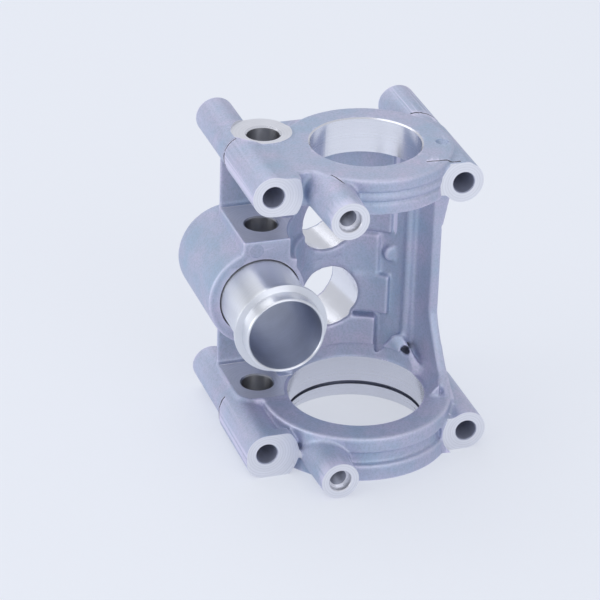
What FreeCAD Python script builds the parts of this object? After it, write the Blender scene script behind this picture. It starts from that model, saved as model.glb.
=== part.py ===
import FreeCAD, Part
import math
import os

import Sketcher

# Camshaft holder of a single-cylinder engine. It stands on its large bearing end.
# The camshaft axis is Z, the cylinder head is behind it (+Y) and the head cover before it (-Y).

OUT = "parts"
os.makedirs(OUT, exist_ok=True)
doc = FreeCAD.newDocument("camshaft_holder")

SIZES = [
    ("small_seat_radius", 18.5, "ball bearing seat in the upper ring"),
    ("large_seat_radius", 23.5, "ball bearing seat in the lower ring"),
    ("seat_chamfer", 0.8, "lead-in of the upper seat"),
    ("turning_stock", 2.0, "metal inside the rings that the turned room takes away"),
    ("overlap", 0.5, "how far a part of the casting runs into the one beside it"),
    ("cut_margin", 2.0, "how far a cut runs past what it cuts"),
    ("upper_face", 110.3, "height of the upper ring's machined face"),
    ("upper_plate_depth", 12.5, "depth of the upper ring and its webs"),
    ("upper_ring_radius", 28.5, "outer radius of the upper ring"),
    ("upper_ring_shift", 1.3, "how far the upper ring stands forward of the axis"),
    ("upper_band_depth", 4.2, "upper band of the ring's front"),
    ("upper_bead_depth", 2.2, "bead between the two fine grooves"),
    ("fine_groove", 1.0, "height and depth of a fine groove"),
    ("lower_face", 16.2, "height of the lower ring's inner face"),
    ("lower_ring_radius", 32.6, "outer radius of the lower ring"),
    ("lower_flange_depth", 5.8, "height of each of the lower ring's flanges"),
    ("lower_groove_depth", 2.0, "depth of the channel between the flanges"),
    ("circlip_groove_height", 5.6, "lower side of the circlip groove"),
    ("circlip_groove_width", 1.4, "width of the circlip groove"),
    ("circlip_groove_depth", 1.3, "depth of the circlip groove"),
    ("seat_land_end", 3.6, "where the lower seat opens to its lead-in"),
    ("seat_lead_in", 2.2, "radial growth of the lead-in"),
    ("swing_radius", 21.9, "room that the cam lobes need"),
    ("seat_relief_radius", 23.9, "clearance above the lower seat"),
    ("seat_relief_top", 22.4, "upper end of that clearance"),
    ("upper_swing_radius", 24.4, "wider room in the upper half"),
    ("upper_swing_start", 69.4, "where the wider room begins"),
    ("back_wall_inner", 24.3, "inner radius of the back wall"),
    ("back_wall_thickness", 5.5, "back wall"),
    ("back_wall_start", 55.5, "angle of the back wall's right edge"),
    ("back_wall_sweep", 82.5, "angle that the back wall covers"),
    ("wall_top", 106.3, "upper end of the walls, inside the upper plate"),
    ("ledge_height", 34.4, "ledge low on the back wall"),
    ("panel_start", 46.0, "angle of the right edge of the back wall's two panels"),
    ("upper_panel_bottom", 65.4, "lower edge of the upper panel"),
    ("lower_panel_top", 49.2, "upper edge of the lower panel"),
    ("lower_panel_step", 0.8, "how far the lower panel stands proud of the back wall"),
    ("panel_sweep", 30.0, "angle that a panel covers"),
    ("slot_width", 1.2, "height of the narrow slots under the panels"),
    ("slot_depth", 1.4, "depth of these slots into the back wall"),
    ("slot_start", 51.5, "angle of their right end"),
    ("slot_sweep", 24.0, "angle that they cover"),
    ("corner_inner", 25.8, "inner radius of the wall between back wall and rib"),
    ("corner_start", 37.0, "angle of its right edge"),
    ("corner_sweep", 24.0, "angle that it covers"),
    ("side_wall_inner", 28.0, "inner radius of the side wall"),
    ("side_wall_thickness", 3.2, "side wall"),
    ("side_wall_sweep", 66.0, "angle of the side wall's curved part"),
    ("side_wall_front", 13.5, "reach of the side wall's foot, before the axis"),
    ("window_back", 5.0, "front edge of the side wall at its narrowest, behind the axis"),
    ("window_foot", 40.0, "where the side wall's foot starts to sweep forward"),
    ("window_foot_sweep", 40.0, "radius of that sweep"),
    ("window_head", 78.0, "where the side wall's head starts to sweep forward"),
    ("window_head_reach", 2.0, "front of the head at the upper plate, behind the axis"),
    ("window_head_sweep", 66.8, "radius of that sweep"),
    ("head_flare", 2.8, "how far the side wall's head grows outward to its boss"),
    ("head_flare_start", 73.0, "where it starts to grow"),
    ("head_flare_end", 88.0, "where it has grown"),
    ("head_flare_back", 9.0, "rear of the grown head, behind the axis"),
    ("fairing_width", 3.4, "foot of the fairing inside the side wall"),
    ("fairing_height", 4.6, "height of that fairing"),
    ("fairing_sweep", 48.0, "angle that the fairing covers, half of it on either side"),
    ("rib_radius", 1.8, "vertical rib on the side wall"),
    ("rib_x", 22.8, "rib, right of the axis"),
    ("rib_y", 14.6, "rib, behind the axis"),
    ("gusset_left", 11.5, "left front corner of the gusset's foot, right of the axis"),
    ("gusset_left_front", 9.0, "that corner, behind the axis"),
    ("gusset_right", 27.6, "right front corner of the gusset's foot, right of the axis"),
    ("gusset_right_front", 3.0, "that corner, behind the axis"),
    ("gusset_back", 21.0, "rear of the gusset, within the walls, behind the axis"),
    ("gusset_draft", 28.0, "slope of the gusset's faces"),
    ("gusset_height", 12.0, "height of the gusset above the lower ring"),
    ("oil_hole_radius", 1.6, "oil hole in the gusset"),
    ("oil_hole_turn", 20.0, "how far the oil hole turns right of the rearward direction"),
    ("oil_hole_across", 16.6, "oil hole, across that direction from the axis"),
    ("oil_hole_height", 23.1, "height of the oil hole"),
    ("oil_hole_start", 11.0, "start of the oil hole, along its direction from the axis"),
    ("oil_hole_depth", 11.0, "depth of the oil hole"),
    ("bolt_face", 20.65, "machined boss faces, before the axis"),
    ("head_face", 44.35, "mounting faces, behind the axis"),
    ("bolt_hole_radius", 3.6, "clearance of the holder bolts"),
    ("bolt_boss_radius", 7.0, "bolt bosses before the parting"),
    ("bolt_stem_radius", 6.7, "bolt bosses behind the parting"),
    ("bolt_boss_reach", 12.5, "where the plates let go of the bosses, behind the axis"),
    ("left_bolts", 38.2, "left bolts, from the axis"),
    ("upper_right_bolt", 27.0, "upper right bolt, from the axis"),
    ("lower_right_bolt", 33.0, "lower right bolt, from the axis"),
    ("upper_left_bolt_height", 104.4, "upper left bolt"),
    ("upper_right_bolt_height", 101.6, "upper right bolt"),
    ("lower_left_bolt_height", 8.9, "lower left bolt"),
    ("lower_right_bolt_height", 7.0, "lower right bolt"),
    ("cover_face", 40.3, "faces of the head cover bosses, before the axis"),
    ("cover_bosses", 18.9, "head cover bosses, from the axis"),
    ("upper_cover_height", 102.8, "upper head cover boss"),
    ("lower_cover_height", 6.8, "lower head cover boss"),
    ("cover_boss_radius", 6.5, "head cover boss at its face"),
    ("cover_boss_draft", 2.5, "draft angle of the head cover bosses"),
    ("cover_boss_root", 14.0, "where these bosses end in the rings"),
    ("cover_counterbore_radius", 3.85, "mouth of a tapped hole"),
    ("cover_counterbore_depth", 2.0, "depth of that mouth"),
    ("cover_thread_radius", 2.5, "core of the tapped holes"),
    ("cover_thread_depth", 17.0, "depth of the tapped holes"),
    ("facing_reach", 60.0, "half side of the square that faces the underside"),
    ("left_face_end", 30.4, "corner of the flat faces beside the left bosses, left of the axis"),
    ("left_face_bulge", 11.0, "radius of the round right ends of these faces"),
    ("spot_face_radius", 9.0, "tool that faces the right bosses"),
    ("web_recess", 16.5, "front of the recessed web, before the axis"),
    ("upper_right_web_top", 108.9, "top of the web beside the upper right boss"),
    ("lower_web_height", 12.4, "top of the lower webs"),
    ("foot_corner", 6.0, "round corner of the foot under the lower left boss"),
    ("right_edge", 29.3, "right edge of the upper plate"),
    ("rocker_shaft_x", 30.9, "rocker shaft, left of the axis"),
    ("rocker_shaft_y", 14.05, "rocker shaft, behind the axis"),
    ("rocker_bore_radius", 5.5, "rocker shaft bores"),
    ("rocker_blind_depth", 6.0, "depth of the two blind bores in the barrel"),
    ("upper_pad_height", 110.6, "machined pad of the upper lug"),
    ("upper_lug_radius", 9.5, "rounding of the upper lug"),
    ("upper_lug_front", 15.4, "front centre of the upper lug"),
    ("upper_lug_back", 16.2, "back centre of the upper lug"),
    ("middle_pad_height", 77.4, "machined pad on the barrel"),
    ("middle_pad_right", 14.0, "right end of that pad, within the cams' reach"),
    ("lower_pad_height", 16.6, "machined pad of the lower lug"),
    ("lug_left", 40.8, "left side of the pads"),
    ("lug_right", 16.0, "right end of the pads, within the bearing's reach"),
    ("lower_lug_front", 2.5, "front of the lower lug, behind the axis"),
    ("lug_rounding", 7.0, "round corner of the lower lug"),
    ("recess_back", 30.35, "back of the two rocker recesses"),
    ("column_thickness", 5.5, "wall behind the rocker recesses"),
    ("column_right", 8.0, "right end of that wall"),
    ("column_slant", 3.6, "how far that wall's left end slants in towards its back"),
    ("column_top", 104.0, "upper end of that wall"),
    ("barrel_x", 34.6, "plug tube axis, left of the camshaft"),
    ("barrel_height", 56.5, "plug tube axis, height"),
    ("barrel_radius", 17.9, "barrel round the plug tube"),
    ("barrel_front", 1.35, "front face of the barrel, behind the axis"),
    ("barrel_back", 38.85, "rear face of the barrel"),
    ("barrel_lug_radius", 8.0, "lug under the barrel"),
    ("barrel_lug_height", 35.6, "lower face of that lug"),
    ("lifter_radius", 11.0, "valve lifter bores"),
    ("lifter_boss_radius", 14.3, "bosses round the lifter bores"),
    ("lifter_middle", 55.7, "height midway between the lifters"),
    ("lifter_pitch", 28.8, "distance between the lifters"),
    ("lifter_tilt", 8.0, "lean of the lifter axes"),
    ("lifter_boss_start", 23.6, "front of the lifter bosses, from the camshaft axis"),
    ("lifter_boss_end", 42.0, "rear of the lifter bosses, from the camshaft axis"),
    ("lifter_run_in", 4.0, "how far a lifter bore's tool starts before the boss and runs out of it"),
    ("pin_mark_radius", 2.9, "ejector pin pad on the back wall"),
    ("pin_mark_x", 17.9, "ejector pin pad, right of the axis"),
    ("pin_mark_height", 57.6, "ejector pin pad, height"),
    ("pin_mark_front", 17.4, "face of the ejector pin pad, behind the axis"),
    ("pin_mark_length", 7.0, "length of the ejector pin pad"),
    ("tube_radius", 13.75, "outside of the plug tube"),
    ("tube_bore_radius", 12.4, "inside of the plug tube"),
    ("tube_tip", 26.35, "front end of the plug tube, before the axis"),
    ("tube_end", 29.0, "rear end of the plug tube, behind the axis"),
    ("tube_mouth_chamfer", 0.5, "chamfer of the barrel round the tube"),
    ("collar_radius", 15.9, "collar of the plug tube"),
    ("collar_face", 21.05, "front of the collar, before the axis"),
    ("collar_width", 1.4, "width of the collar"),
    ("nose_radius", 13.5, "seal seat before the collar"),
    ("tip_chamfer", 0.45, "edge break at the tube's tip"),
]

sheet = doc.addObject("Spreadsheet::Sheet", "Sizes")
for row, (alias, value, note) in enumerate(SIZES, start=1):
    sheet.set("A%d" % row, alias)
    sheet.set("B%d" % row, str(value))
    sheet.set("C%d" % row, note)
    sheet.setAlias("B%d" % row, alias)
doc.recompute()

UP = FreeCAD.Vector(0, 0, 1)


def cells(text):
    """Turn an expression of plain size names into one that reads the sheet."""
    for alias, _, _ in sorted(SIZES, key=lambda size: -len(size[0])):
        text = text.replace("<" + alias + ">", "Sizes." + alias)
    return text


def size(text):
    """Value of an expression of sizes."""
    value = sheet.evalExpression(cells(text))
    return float(getattr(value, "Value", value))


def bind(item, path, text):
    """Tie a property or constraint to an expression of sizes."""
    item.setExpression(path, cells(text))


def origin_plane(body, role):
    return next(item for item in body.Origin.OriginFeatures if item.Role == role)


def sketch_on(body, name, role, offset="0"):
    """Sketch on an origin plane of its body, moved along the plane's normal."""
    sketch = body.newObject("Sketcher::SketchObject", name)
    sketch.AttachmentSupport = [(origin_plane(body, role), "")]
    sketch.MapMode = "FlatFace"
    bind(sketch, "AttachmentOffset.Base.z", offset)
    return sketch


def turned_sketch(body, name, turn, side, distance):
    """Sketch on an upright plane across a level direction, a distance along it from the axis.

    The direction turns from the rearward one by an angle, to the left (1) or to the right (-1).
    """
    sketch = sketch_on(body, name, "XZ_Plane", "-cos(%s) * (%s)" % (turn, distance))
    bind(sketch, "AttachmentOffset.Base.x", "%d * sin(%s) * (%s)" % (-side, turn, distance))
    sketch.AttachmentOffset = FreeCAD.Placement(
        sketch.AttachmentOffset.Base,
        FreeCAD.Rotation(FreeCAD.Vector(0, side, 0), size(turn)))
    bind(sketch, "AttachmentOffset.Rotation.Angle", "%s * 1 deg" % turn)
    return sketch


def place_point(sketch, shape, point, across, along):
    """Fix one point of a sketch's shape at two coordinates."""
    first = sketch.addConstraint(Sketcher.Constraint("DistanceX", -1, 1, shape, point, size(across)))
    bind(sketch, "Constraints[%d]" % first, across)
    second = sketch.addConstraint(Sketcher.Constraint("DistanceY", -1, 1, shape, point, size(along)))
    bind(sketch, "Constraints[%d]" % second, along)


def add_circle(sketch, across, along, radius):
    """Circle with its centre and radius tied to sizes."""
    centre = FreeCAD.Vector(size(across), size(along), 0)
    shape = sketch.addGeometry(Part.Circle(centre, UP, size(radius)), False)
    place_point(sketch, shape, 3, across, along)
    index = sketch.addConstraint(Sketcher.Constraint("Radius", shape, size(radius)))
    bind(sketch, "Constraints[%d]" % index, radius)


def arc_between(first, second, radius, side):
    """Short arc from one point to another, bulging to the left (1) or right (-1) of the way."""
    chord = second - first
    half = chord.Length / 2
    rise = radius - math.sqrt(radius * radius - half * half)
    normal = FreeCAD.Vector(-chord.y, chord.x, 0).normalize()
    return Part.Arc(first, first + chord * 0.5 + normal * (rise * side), second)


def add_outline(sketch, corners):
    """Closed outline; every corner is tied to sizes.

    A corner may also carry the radius and the side of the arc that leads on from it.
    """
    spots = [FreeCAD.Vector(size(corner[0]), size(corner[1]), 0) for corner in corners]
    count = len(spots)
    sides = []
    for index, corner in enumerate(corners):
        first, second = spots[index], spots[(index + 1) % count]
        if len(corner) == 2:
            shape = Part.LineSegment(first, second)
        else:
            shape = arc_between(first, second, size(corner[2]), corner[3])
        sides.append(sketch.addGeometry(shape, False))
    ends = []
    for index, corner in enumerate(corners):
        curve = sketch.Geometry[sides[index]]
        forward = (curve.StartPoint - spots[index]).Length < 1e-6
        ends.append((1, 2) if forward else (2, 1))
    for index in range(count):
        following = (index + 1) % count
        sketch.addConstraint(Sketcher.Constraint(
            "Coincident", sides[index], ends[index][1], sides[following], ends[following][0]))
    for index, corner in enumerate(corners):
        place_point(sketch, sides[index], ends[index][0], corner[0], corner[1])
        if len(corner) > 2:
            arc = sketch.addConstraint(Sketcher.Constraint("Radius", sides[index], size(corner[2])))
            bind(sketch, "Constraints[%d]" % arc, corner[2])


def add_sector(sketch, inner, outer, start, sweep):
    """Piece of a ring about the sketch's origin."""
    first = math.radians(size(start))
    last = math.radians(size(start) + size(sweep))
    centre = FreeCAD.Vector(0, 0, 0)
    arcs = []
    for radius in (inner, outer):
        circle = Part.Circle(centre, UP, size(radius))
        arcs.append(sketch.addGeometry(Part.ArcOfCircle(circle, first, last), False))
    near, far = arcs
    ends = []
    for angle in (first, last):
        way = FreeCAD.Vector(math.cos(angle), math.sin(angle), 0)
        line = Part.LineSegment(way * size(inner), way * size(outer))
        ends.append(sketch.addGeometry(line, False))
    opening, closing = ends
    for arc, radius in ((near, inner), (far, outer)):
        sketch.addConstraint(Sketcher.Constraint("Coincident", arc, 3, -1, 1))
        index = sketch.addConstraint(Sketcher.Constraint("Radius", arc, size(radius)))
        bind(sketch, "Constraints[%d]" % index, radius)
    for line, point in ((opening, 1), (closing, 2)):
        sketch.addConstraint(Sketcher.Constraint("Coincident", line, 1, near, point))
        sketch.addConstraint(Sketcher.Constraint("Coincident", line, 2, far, point))
        sketch.addConstraint(Sketcher.Constraint("PointOnObject", -1, 1, line))
    for line, text in ((opening, start), (closing, "%s + %s" % (start, sweep))):
        index = sketch.addConstraint(
            Sketcher.Constraint("Angle", -1, line, math.radians(size(text))))
        bind(sketch, "Constraints[%d]" % index, "(%s) * 1 deg" % text)


def add_slot(sketch, across, low, high, radius):
    """Two half circles joined by straight sides, long along the sketch's second axis."""
    first = FreeCAD.Vector(size(across), size(low), 0)
    second = FreeCAD.Vector(size(across), size(high), 0)
    reach = FreeCAD.Vector(size(radius), 0, 0)
    bottom = Part.ArcOfCircle(Part.Circle(first, UP, size(radius)), math.pi, 2 * math.pi)
    top = Part.ArcOfCircle(Part.Circle(second, UP, size(radius)), 0, math.pi)
    low_arc = sketch.addGeometry(bottom, False)
    high_arc = sketch.addGeometry(top, False)
    right = sketch.addGeometry(Part.LineSegment(first + reach, second + reach), False)
    left = sketch.addGeometry(Part.LineSegment(second - reach, first - reach), False)
    sketch.addConstraint(Sketcher.Constraint("Tangent", low_arc, 2, right, 1))
    sketch.addConstraint(Sketcher.Constraint("Tangent", right, 2, high_arc, 1))
    sketch.addConstraint(Sketcher.Constraint("Tangent", high_arc, 2, left, 1))
    sketch.addConstraint(Sketcher.Constraint("Tangent", left, 2, low_arc, 1))
    place_point(sketch, low_arc, 3, across, low)
    place_point(sketch, high_arc, 3, across, high)
    index = sketch.addConstraint(Sketcher.Constraint("Radius", low_arc, size(radius)))
    bind(sketch, "Constraints[%d]" % index, radius)


def grow(body, kind, name, sketch, length, backwards=False, draft=None):
    """Pad or pocket of a sketch."""
    feature = body.newObject("PartDesign::" + kind, name)
    feature.Profile = sketch
    feature.Reversed = backwards
    bind(feature, "Length", length)
    if draft is not None:
        bind(feature, "TaperAngle", draft)
    sketch.Visibility = False
    doc.recompute()
    return feature


def turn(body, kind, name, sketch, axis="V_Axis", sweep="360"):
    """Turn of a sketch about one of its own axes, to both sides alike."""
    feature = body.newObject("PartDesign::" + kind, name)
    feature.Profile = sketch
    feature.ReferenceAxis = (sketch, [axis])
    feature.Midplane = True
    bind(feature, "Angle", sweep)
    sketch.Visibility = False
    doc.recompute()
    return feature


def edges_of(feature, chosen):
    """Names of the feature's edges that the test picks."""
    names = []
    for index, edge in enumerate(feature.Shape.Edges, start=1):
        if chosen(edge):
            names.append("Edge%d" % index)
    return names


def round_edges(body, name, feature, chosen, radius):
    """Fillet of the chosen edges."""
    fillet = body.newObject("PartDesign::Fillet", name)
    fillet.Base = (feature, edges_of(feature, chosen))
    bind(fillet, "Radius", radius)
    doc.recompute()
    return fillet


def is_upright_at(edge, across, along):
    """True for a straight vertical edge at a place in plan."""
    if not isinstance(edge.Curve, Part.Line):
        return False
    low, high = edge.BoundBox.ZMin, edge.BoundBox.ZMax
    middle = edge.CenterOfMass
    there = math.hypot(middle.x - across, middle.y - along) < 0.01
    return there and high - low > 1.0 and edge.Length < high - low + 0.01


# The casting. XZ sketches look along +Y: their first axis is X, their second Z,
# and a pad from one grows forward, to -Y.
casting = doc.addObject("PartDesign::Body", "Casting")
casting.Label = "holder_casting"

# Lower bearing ring: two flanges with a channel between them.
sketch = sketch_on(casting, "LowerRingProfile", "XZ_Plane")
channel = "<lower_ring_radius> - <lower_groove_depth>"
inside = "<swing_radius> - <turning_stock>"
channel_top = "<lower_face> - <lower_flange_depth>"
add_outline(sketch, [
    (inside, "0"),
    ("<lower_ring_radius>", "0"),
    ("<lower_ring_radius>", "<lower_flange_depth>"),
    (channel, "<lower_flange_depth>"),
    (channel, channel_top),
    ("<lower_ring_radius>", channel_top),
    ("<lower_ring_radius>", "<lower_face>"),
    (inside, "<lower_face>"),
])
turn(casting, "Revolution", "LowerRing", sketch)

# Upper bearing ring: a band, two fine grooves with a bead between them, and a lower band.
sketch = sketch_on(casting, "UpperRingProfile", "XZ_Plane", "<upper_ring_shift>")
ring_in = "<small_seat_radius> - <turning_stock>"
ring_out = "<upper_ring_radius>"
groove_floor = "<upper_ring_radius> - <fine_groove>"
first_groove = "<upper_face> - <upper_band_depth>"
bead_top = first_groove + " - <fine_groove>"
bead_end = bead_top + " - <upper_bead_depth>"
second_groove_end = bead_end + " - <fine_groove>"
plate_bottom = "<upper_face> - <upper_plate_depth>"
add_outline(sketch, [
    (ring_in, plate_bottom),
    (ring_out, plate_bottom),
    (ring_out, second_groove_end),
    (groove_floor, second_groove_end),
    (groove_floor, bead_end),
    (ring_out, bead_end),
    (ring_out, bead_top),
    (groove_floor, bead_top),
    (groove_floor, first_groove),
    (ring_out, first_groove),
    (ring_out, "<upper_face>"),
    (ring_in, "<upper_face>"),
])
turn(casting, "Revolution", "UpperRing", sketch)

# Webs of the upper plate, left and right of the ring.
upper_ring_middle = "(<small_seat_radius> + <upper_ring_radius>) / 2"
sketch = sketch_on(casting, "UpperLeftWebOutline", "XY_Plane", "<upper_face>")
add_outline(sketch, [
    ("-<left_bolts>", "-<web_recess>"),
    ("-<cover_bosses>", "-<web_recess>"),
    ("0", "-" + upper_ring_middle),
    ("0", upper_ring_middle),
    ("-<small_seat_radius>", "<upper_lug_back>"),
    ("-<left_bolts>", "<upper_lug_back>"),
])
grow(casting, "Pad", "UpperLeftWeb", sketch, "<upper_plate_depth>", backwards=True)

sketch = sketch_on(casting, "UpperRightWebOutline", "XY_Plane", "<upper_right_web_top>")
add_outline(sketch, [
    ("0", "-" + upper_ring_middle),
    ("<upper_right_bolt> - <bolt_boss_radius>", "-<bolt_face>"),
    ("<right_edge>", "-<bolt_face>"),
    ("<right_edge>", "<bolt_boss_reach>"),
    ("<small_seat_radius>", "<small_seat_radius>"),
    ("0", upper_ring_middle),
])
grow(casting, "Pad", "UpperRightWeb", sketch,
     "<upper_right_web_top> - <upper_face> + <upper_plate_depth>", backwards=True)

# Webs of the lower plate.
lower_ring_middle = "(<large_seat_radius> + <lower_ring_radius>) / 2"
sketch = sketch_on(casting, "LowerLeftWebOutline", "XY_Plane")
add_outline(sketch, [
    ("-<left_bolts>", "-<web_recess>"),
    ("-<cover_bosses>", "-<web_recess>"),
    ("-" + lower_ring_middle, "0"),
    ("-<lug_right>", "<recess_back>"),
    ("-<left_bolts>", "<recess_back>"),
])
grow(casting, "Pad", "LowerLeftWeb", sketch, "<lower_web_height>")

sketch = sketch_on(casting, "LowerRightWebOutline", "XY_Plane")
add_outline(sketch, [
    ("<large_seat_radius>", "-<bolt_face>"),
    ("<lower_right_bolt>", "-<bolt_face>"),
    ("<lower_right_bolt>", "<bolt_boss_reach>"),
    ("<small_seat_radius>", "<large_seat_radius>"),
    (lower_ring_middle, "0"),
])
grow(casting, "Pad", "LowerRightWeb", sketch, "<lower_web_height>")

# Flat faces beside the left bolt bosses, each with a round end on its right.
for name, low, high in (
        ("Upper", "<upper_left_bolt_height> - <bolt_boss_radius>", "<upper_face>"),
        ("Lower", "0", "<lower_left_bolt_height> + <bolt_boss_radius>")):
    sketch = sketch_on(casting, name + "LeftFaceOutline", "XZ_Plane", "<bolt_face>")
    add_outline(sketch, [
        ("-<left_bolts>", low),
        ("-<left_face_end>", low, "<left_face_bulge>", -1),
        ("-<left_face_end>", high),
        ("-<left_bolts>", high),
    ])
    grow(casting, "Pad", name + "LeftFace", sketch, "<bolt_face> - <web_recess> + <overlap>",
         backwards=True)

# Foot under the lower left bolt boss, with a round outer corner.
sketch = sketch_on(casting, "FootOutline", "XZ_Plane", "<bolt_face>")
foot_left = "-<left_bolts> - <bolt_boss_radius>"
foot_right = "-<left_bolts> + <bolt_boss_radius>"
add_outline(sketch, [
    (foot_left, "<foot_corner>", "<foot_corner>", -1),
    (foot_left + " + <foot_corner>", "0"),
    (foot_right, "0"),
    (foot_right, "<lower_left_bolt_height>"),
    (foot_left, "<lower_left_bolt_height>"),
])
grow(casting, "Pad", "Foot", sketch, "<bolt_face> + <bolt_boss_reach>", backwards=True)

# Rocker shaft lugs: a slot-shaped one above, a square one with a round corner below.
sketch = sketch_on(casting, "UpperLugOutline", "XY_Plane", "<upper_pad_height>")
add_slot(sketch, "-<rocker_shaft_x>", "<upper_lug_front>", "<upper_lug_back>", "<upper_lug_radius>")
grow(casting, "Pad", "UpperLug", sketch,
     "<upper_pad_height> - <upper_face> + <upper_plate_depth>", backwards=True)

sketch = sketch_on(casting, "LowerLugOutline", "XY_Plane")
add_outline(sketch, [
    ("-<lug_left>", "<lower_lug_front>"),
    ("-<lug_right>", "<lower_lug_front>"),
    ("-<lug_right>", "<recess_back>"),
    ("-<lug_left>", "<recess_back>"),
])
lower_lug = grow(casting, "Pad", "LowerLug", sketch, "<lower_pad_height>")
corner_x = size("-<lug_left>")
corner_y = size("<lower_lug_front>")
round_edges(casting, "LowerLugRounding", lower_lug,
            lambda edge: is_upright_at(edge, corner_x, corner_y), "<lug_rounding>")

# Wall behind the rocker recesses.
sketch = sketch_on(casting, "ColumnOutline", "XY_Plane")
add_outline(sketch, [
    ("-<lug_left>", "<recess_back>"),
    ("-<column_right>", "<recess_back>"),
    ("-<column_right>", "<recess_back> + <column_thickness>"),
    ("-<lug_left> + <column_slant>", "<recess_back> + <column_thickness>"),
])
grow(casting, "Pad", "Column", sketch, "<column_top>")

# Back wall round the camshaft, with a ledge and a thicker foot.
sketch = sketch_on(casting, "BackWallOutline", "XY_Plane")
back_wall_outer = "<back_wall_inner> + <back_wall_thickness>"
add_sector(sketch, "<back_wall_inner>", back_wall_outer, "<back_wall_start>", "<back_wall_sweep>")
grow(casting, "Pad", "BackWall", sketch, "<wall_top>")

sketch = sketch_on(casting, "LedgeOutline", "XY_Plane")
add_sector(sketch, "<swing_radius>", back_wall_outer, "<back_wall_start>", "<back_wall_sweep>")
grow(casting, "Pad", "Ledge", sketch, "<ledge_height>")

# Two panels on the back wall. The upper one only carries on past its edge; the lower one is proud.
sketch = sketch_on(casting, "UpperPanelOutline", "XY_Plane", "<upper_panel_bottom>")
add_sector(sketch, "<back_wall_inner>", back_wall_outer, "<panel_start>", "<panel_sweep>")
grow(casting, "Pad", "UpperPanel", sketch, "<wall_top> - <upper_panel_bottom>")

sketch = sketch_on(casting, "LowerPanelOutline", "XY_Plane", "<ledge_height>")
add_sector(sketch, "<back_wall_inner> - <lower_panel_step>", back_wall_outer,
           "<panel_start>", "<panel_sweep>")
grow(casting, "Pad", "LowerPanel", sketch, "<lower_panel_top> - <ledge_height>")

# Side wall: curved at the back, with a straight foot and head, cut by a large window.
sketch = sketch_on(casting, "SideWallOutline", "XY_Plane")
side_wall_outer = "<side_wall_inner> + <side_wall_thickness>"
add_sector(sketch, "<side_wall_inner>", side_wall_outer, "0", "<side_wall_sweep>")
grow(casting, "Pad", "SideWall", sketch, "<wall_top>")

sketch = sketch_on(casting, "CornerWallOutline", "XY_Plane")
add_sector(sketch, "<corner_inner>", side_wall_outer + " - <overlap>", "<corner_start>",
           "<corner_sweep>")
grow(casting, "Pad", "CornerWall", sketch, "<wall_top>")

sketch = sketch_on(casting, "SideFootOutline", "XY_Plane")
add_outline(sketch, [
    ("<side_wall_inner>", "-<side_wall_front>"),
    (side_wall_outer, "-<side_wall_front>"),
    (side_wall_outer, "<overlap>"),
    ("<side_wall_inner>", "<overlap>"),
])
grow(casting, "Pad", "SideFoot", sketch, "<wall_top>")

# The side wall's head grows outward to the bolt boss over it.
sketch = sketch_on(casting, "HeadFlareOutline", "XZ_Plane", "-<window_head_reach>")
add_outline(sketch, [
    ("<side_wall_inner>", "<head_flare_start>"),
    (side_wall_outer, "<head_flare_start>"),
    (side_wall_outer + " + <head_flare>", "<head_flare_end>"),
    (side_wall_outer + " + <head_flare>", "<upper_right_bolt_height>"),
    ("<side_wall_inner>", "<upper_right_bolt_height>"),
])
grow(casting, "Pad", "HeadFlare", sketch, "<head_flare_back> - <window_head_reach>", backwards=True)

sketch = sketch_on(casting, "WindowOutline", "YZ_Plane", "<side_wall_inner> - <cut_margin>")
add_outline(sketch, [
    ("-<side_wall_front> - <cut_margin>", "<lower_face>"),
    ("-<side_wall_front>", "<lower_face>", "<window_foot_sweep>", -1),
    ("<window_back>", "<window_foot>"),
    ("<window_back>", "<window_head>", "<window_head_sweep>", -1),
    ("<window_head_reach>", plate_bottom),
    ("-<side_wall_front> - <cut_margin>", plate_bottom),
])
grow(casting, "Pocket", "Window", sketch,
     "<side_wall_thickness> + <head_flare> + 2 * <cut_margin>", backwards=True)

# Sloped fairing between the side wall's inside and the ring under it.
sketch = sketch_on(casting, "FairingProfile", "XZ_Plane")
add_outline(sketch, [
    ("<side_wall_inner> - <fairing_width>", "<lower_face> - <overlap>"),
    ("<side_wall_inner> + <overlap>", "<lower_face> - <overlap>"),
    ("<side_wall_inner> + <overlap>", "<lower_face> + <fairing_height>"),
])
turn(casting, "Revolution", "Fairing", sketch, sweep="<fairing_sweep>")

# Rib with a sloped gusset at its foot.
sketch = sketch_on(casting, "RibOutline", "XY_Plane", "<lower_face>")
add_circle(sketch, "<rib_x>", "<rib_y>", "<rib_radius>")
grow(casting, "Pad", "Rib", sketch, "<wall_top> - <lower_face>")

sketch = sketch_on(casting, "GussetOutline", "XY_Plane", "<lower_face> - <overlap>")
add_outline(sketch, [
    ("<gusset_left>", "<gusset_left_front>"),
    ("<gusset_right>", "<gusset_right_front>"),
    ("<gusset_right>", "<gusset_back>"),
    ("<gusset_left>", "<gusset_back>"),
])
grow(casting, "Pad", "Gusset", sketch, "<gusset_height> + <overlap>", draft="-<gusset_draft>")

# Barrel for the plug tube, with the block of the middle rocker pad on it and a lug under it.
sketch = sketch_on(casting, "BarrelOutline", "XZ_Plane", "-<barrel_front>")
add_circle(sketch, "-<barrel_x>", "<barrel_height>", "<barrel_radius>")
grow(casting, "Pad", "Barrel", sketch, "<barrel_back> - <barrel_front>", backwards=True)

sketch = sketch_on(casting, "MiddlePadOutline", "XY_Plane", "<barrel_height>")
add_outline(sketch, [
    ("-<lug_left>", "<barrel_front>"),
    ("-<middle_pad_right>", "<barrel_front>"),
    ("-<middle_pad_right>", "<recess_back>"),
    ("-<lug_left>", "<recess_back>"),
])
grow(casting, "Pad", "MiddlePad", sketch, "<middle_pad_height> - <barrel_height>")

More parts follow.
